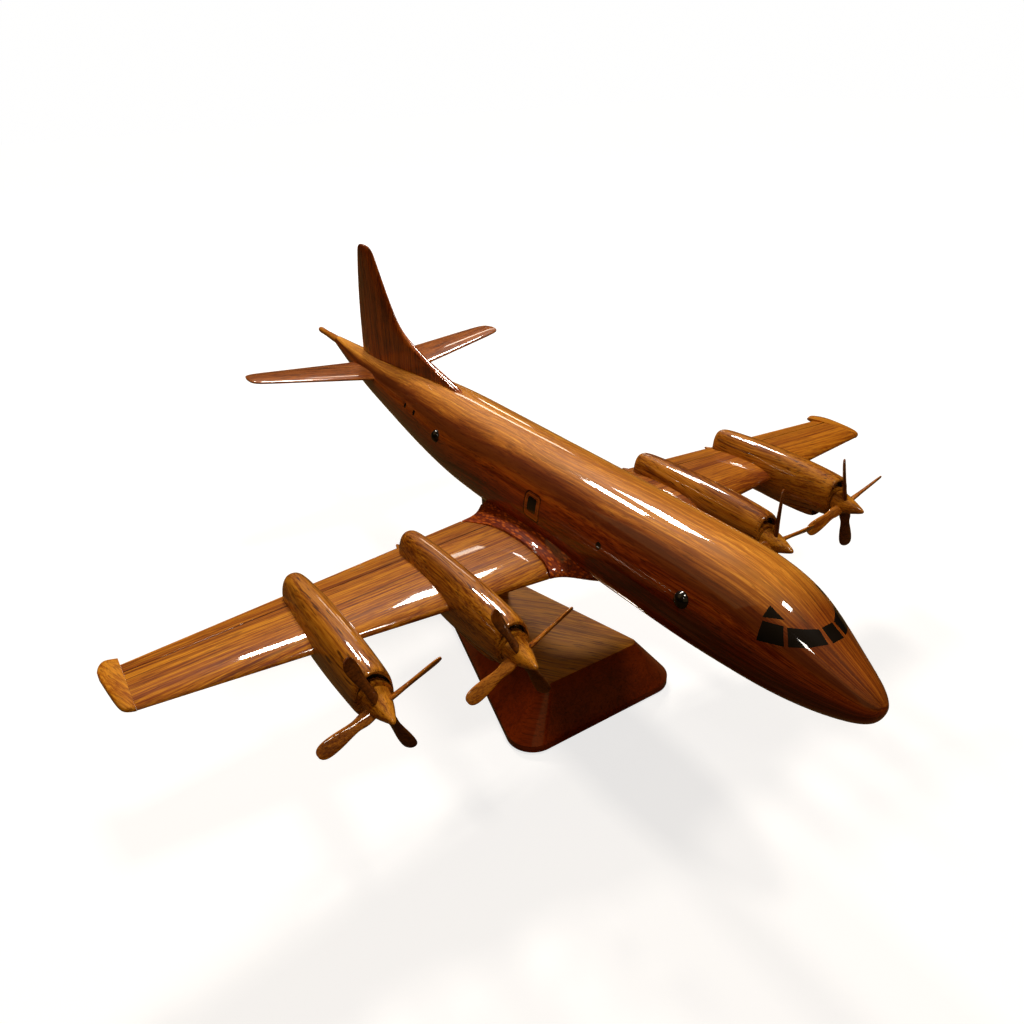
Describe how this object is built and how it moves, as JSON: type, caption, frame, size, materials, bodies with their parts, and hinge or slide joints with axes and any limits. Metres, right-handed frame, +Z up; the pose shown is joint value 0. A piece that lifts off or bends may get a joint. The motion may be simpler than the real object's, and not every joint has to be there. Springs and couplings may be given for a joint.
{
  "type": "desktop aircraft model",
  "caption": "Carved and lacquered wooden desk model of a propeller aircraft with straight wings and a tail boom, held level on a sloped wooden stand.",
  "frame": {"origin": "on the floor under the stand, on the aircraft's plane of symmetry, 215 mm behind the nose tip, at the middle of the felt pad", "axes": "+Z up, -Y towards the aircraft's nose, +X to the aircraft's port side"},
  "size_m": [0.4338, 0.4949, 0.2099],
  "materials": {
    "fuselage_wood": "gloss",
    "tail_wood": "gloss",
    "wing_wood": "gloss",
    "fairing_wood": "gloss",
    "nacelle_wood": "gloss",
    "pale_wood": "gloss",
    "blade_wood": "gloss",
    "base_wood": "gloss",
    "post_wood": "gloss",
    "dowel_wood": "plain",
    "black_inlay": "gloss",
    "brass_pin": "satin",
    "steel_screw": "satin",
    "felt": "matt"
  },
  "bodies": {
    "stand": {"stand_base": "base_wood", "stand_post": "post_wood", "stand_pegs": "brass_pin", "post_screws": "steel_screw", "felt_pad": "felt"},
    "airframe": {"fuselage": "fuselage_wood", "tail_boom": "pale_wood", "fin": "tail_wood", "tail_dowels": "dowel_wood", "stabiliser_port": "tail_wood", "wing_port": "wing_wood", "wing_tip_port": "pale_wood", "root_fairing_port": "fairing_wood", "cockpit_pane_front_port": "black_inlay", "cockpit_pane_side_port": "black_inlay", "cockpit_pane_upper_port": "black_inlay", "hatch_panel_port": "fuselage_wood", "hatch_pane_port": "black_inlay", "bubble_windows_port": "black_inlay", "stabiliser_starboard": "tail_wood", "wing_starboard": "wing_wood", "wing_tip_starboard": "pale_wood", "root_fairing_starboard": "fairing_wood", "cockpit_pane_front_starboard": "black_inlay", "cockpit_pane_side_starboard": "black_inlay", "cockpit_pane_upper_starboard": "black_inlay", "hatch_panel_starboard": "fuselage_wood", "hatch_pane_starboard": "black_inlay", "bubble_windows_starboard": "black_inlay", "cockpit_pane_centre": "black_inlay", "portholes": "black_inlay", "wing_dowels": "dowel_wood", "nose_bushes": "brass_pin", "nacelle_port_inboard": "nacelle_wood", "intake_port_inboard": "black_inlay", "propeller_pin_port_inboard": "brass_pin", "nacelle_port_outboard": "nacelle_wood", "intake_port_outboard": "black_inlay", "propeller_pin_port_outboard": "brass_pin", "nacelle_starboard_inboard": "nacelle_wood", "intake_starboard_inboard": "black_inlay", "propeller_pin_starboard_inboard": "brass_pin", "nacelle_starboard_outboard": "nacelle_wood", "intake_starboard_outboard": "black_inlay", "propeller_pin_starboard_outboard": "brass_pin"},
    "propeller_port_inboard": {"spinner_port_inboard": "nacelle_wood", "propeller_blades_port_inboard": "blade_wood", "hub_plate_port_inboard": "blade_wood"},
    "propeller_port_outboard": {"spinner_port_outboard": "nacelle_wood", "propeller_blades_port_outboard": "blade_wood", "hub_plate_port_outboard": "blade_wood"},
    "propeller_starboard_inboard": {"spinner_starboard_inboard": "nacelle_wood", "propeller_blades_starboard_inboard": "blade_wood", "hub_plate_starboard_inboard": "blade_wood"},
    "propeller_starboard_outboard": {"spinner_starboard_outboard": "nacelle_wood", "propeller_blades_starboard_outboard": "blade_wood", "hub_plate_starboard_outboard": "blade_wood"}
  },
  "joints": [
    {"name": "lift_off_stand", "type": "slide", "parent": "stand", "child": "airframe", "axis": [0, 0, 1], "range_m": [0, 0.05]},
    {"name": "propeller_spin_port_inboard", "type": "hinge", "parent": "airframe", "child": "propeller_port_inboard", "pos_m": [0.0735, -0.10555, 0.1006], "axis": [0, -1, 0], "continuous": true},
    {"name": "propeller_spin_port_outboard", "type": "hinge", "parent": "airframe", "child": "propeller_port_outboard", "pos_m": [0.13246, -0.10065, 0.1006], "axis": [0, -1, 0], "continuous": true},
    {"name": "propeller_spin_starboard_inboard", "type": "hinge", "parent": "airframe", "child": "propeller_starboard_inboard", "pos_m": [-0.0735, -0.10555, 0.1006], "axis": [0, -1, 0], "continuous": true},
    {"name": "propeller_spin_starboard_outboard", "type": "hinge", "parent": "airframe", "child": "propeller_starboard_outboard", "pos_m": [-0.13246, -0.10065, 0.1006], "axis": [0, -1, 0], "continuous": true}
  ]
}
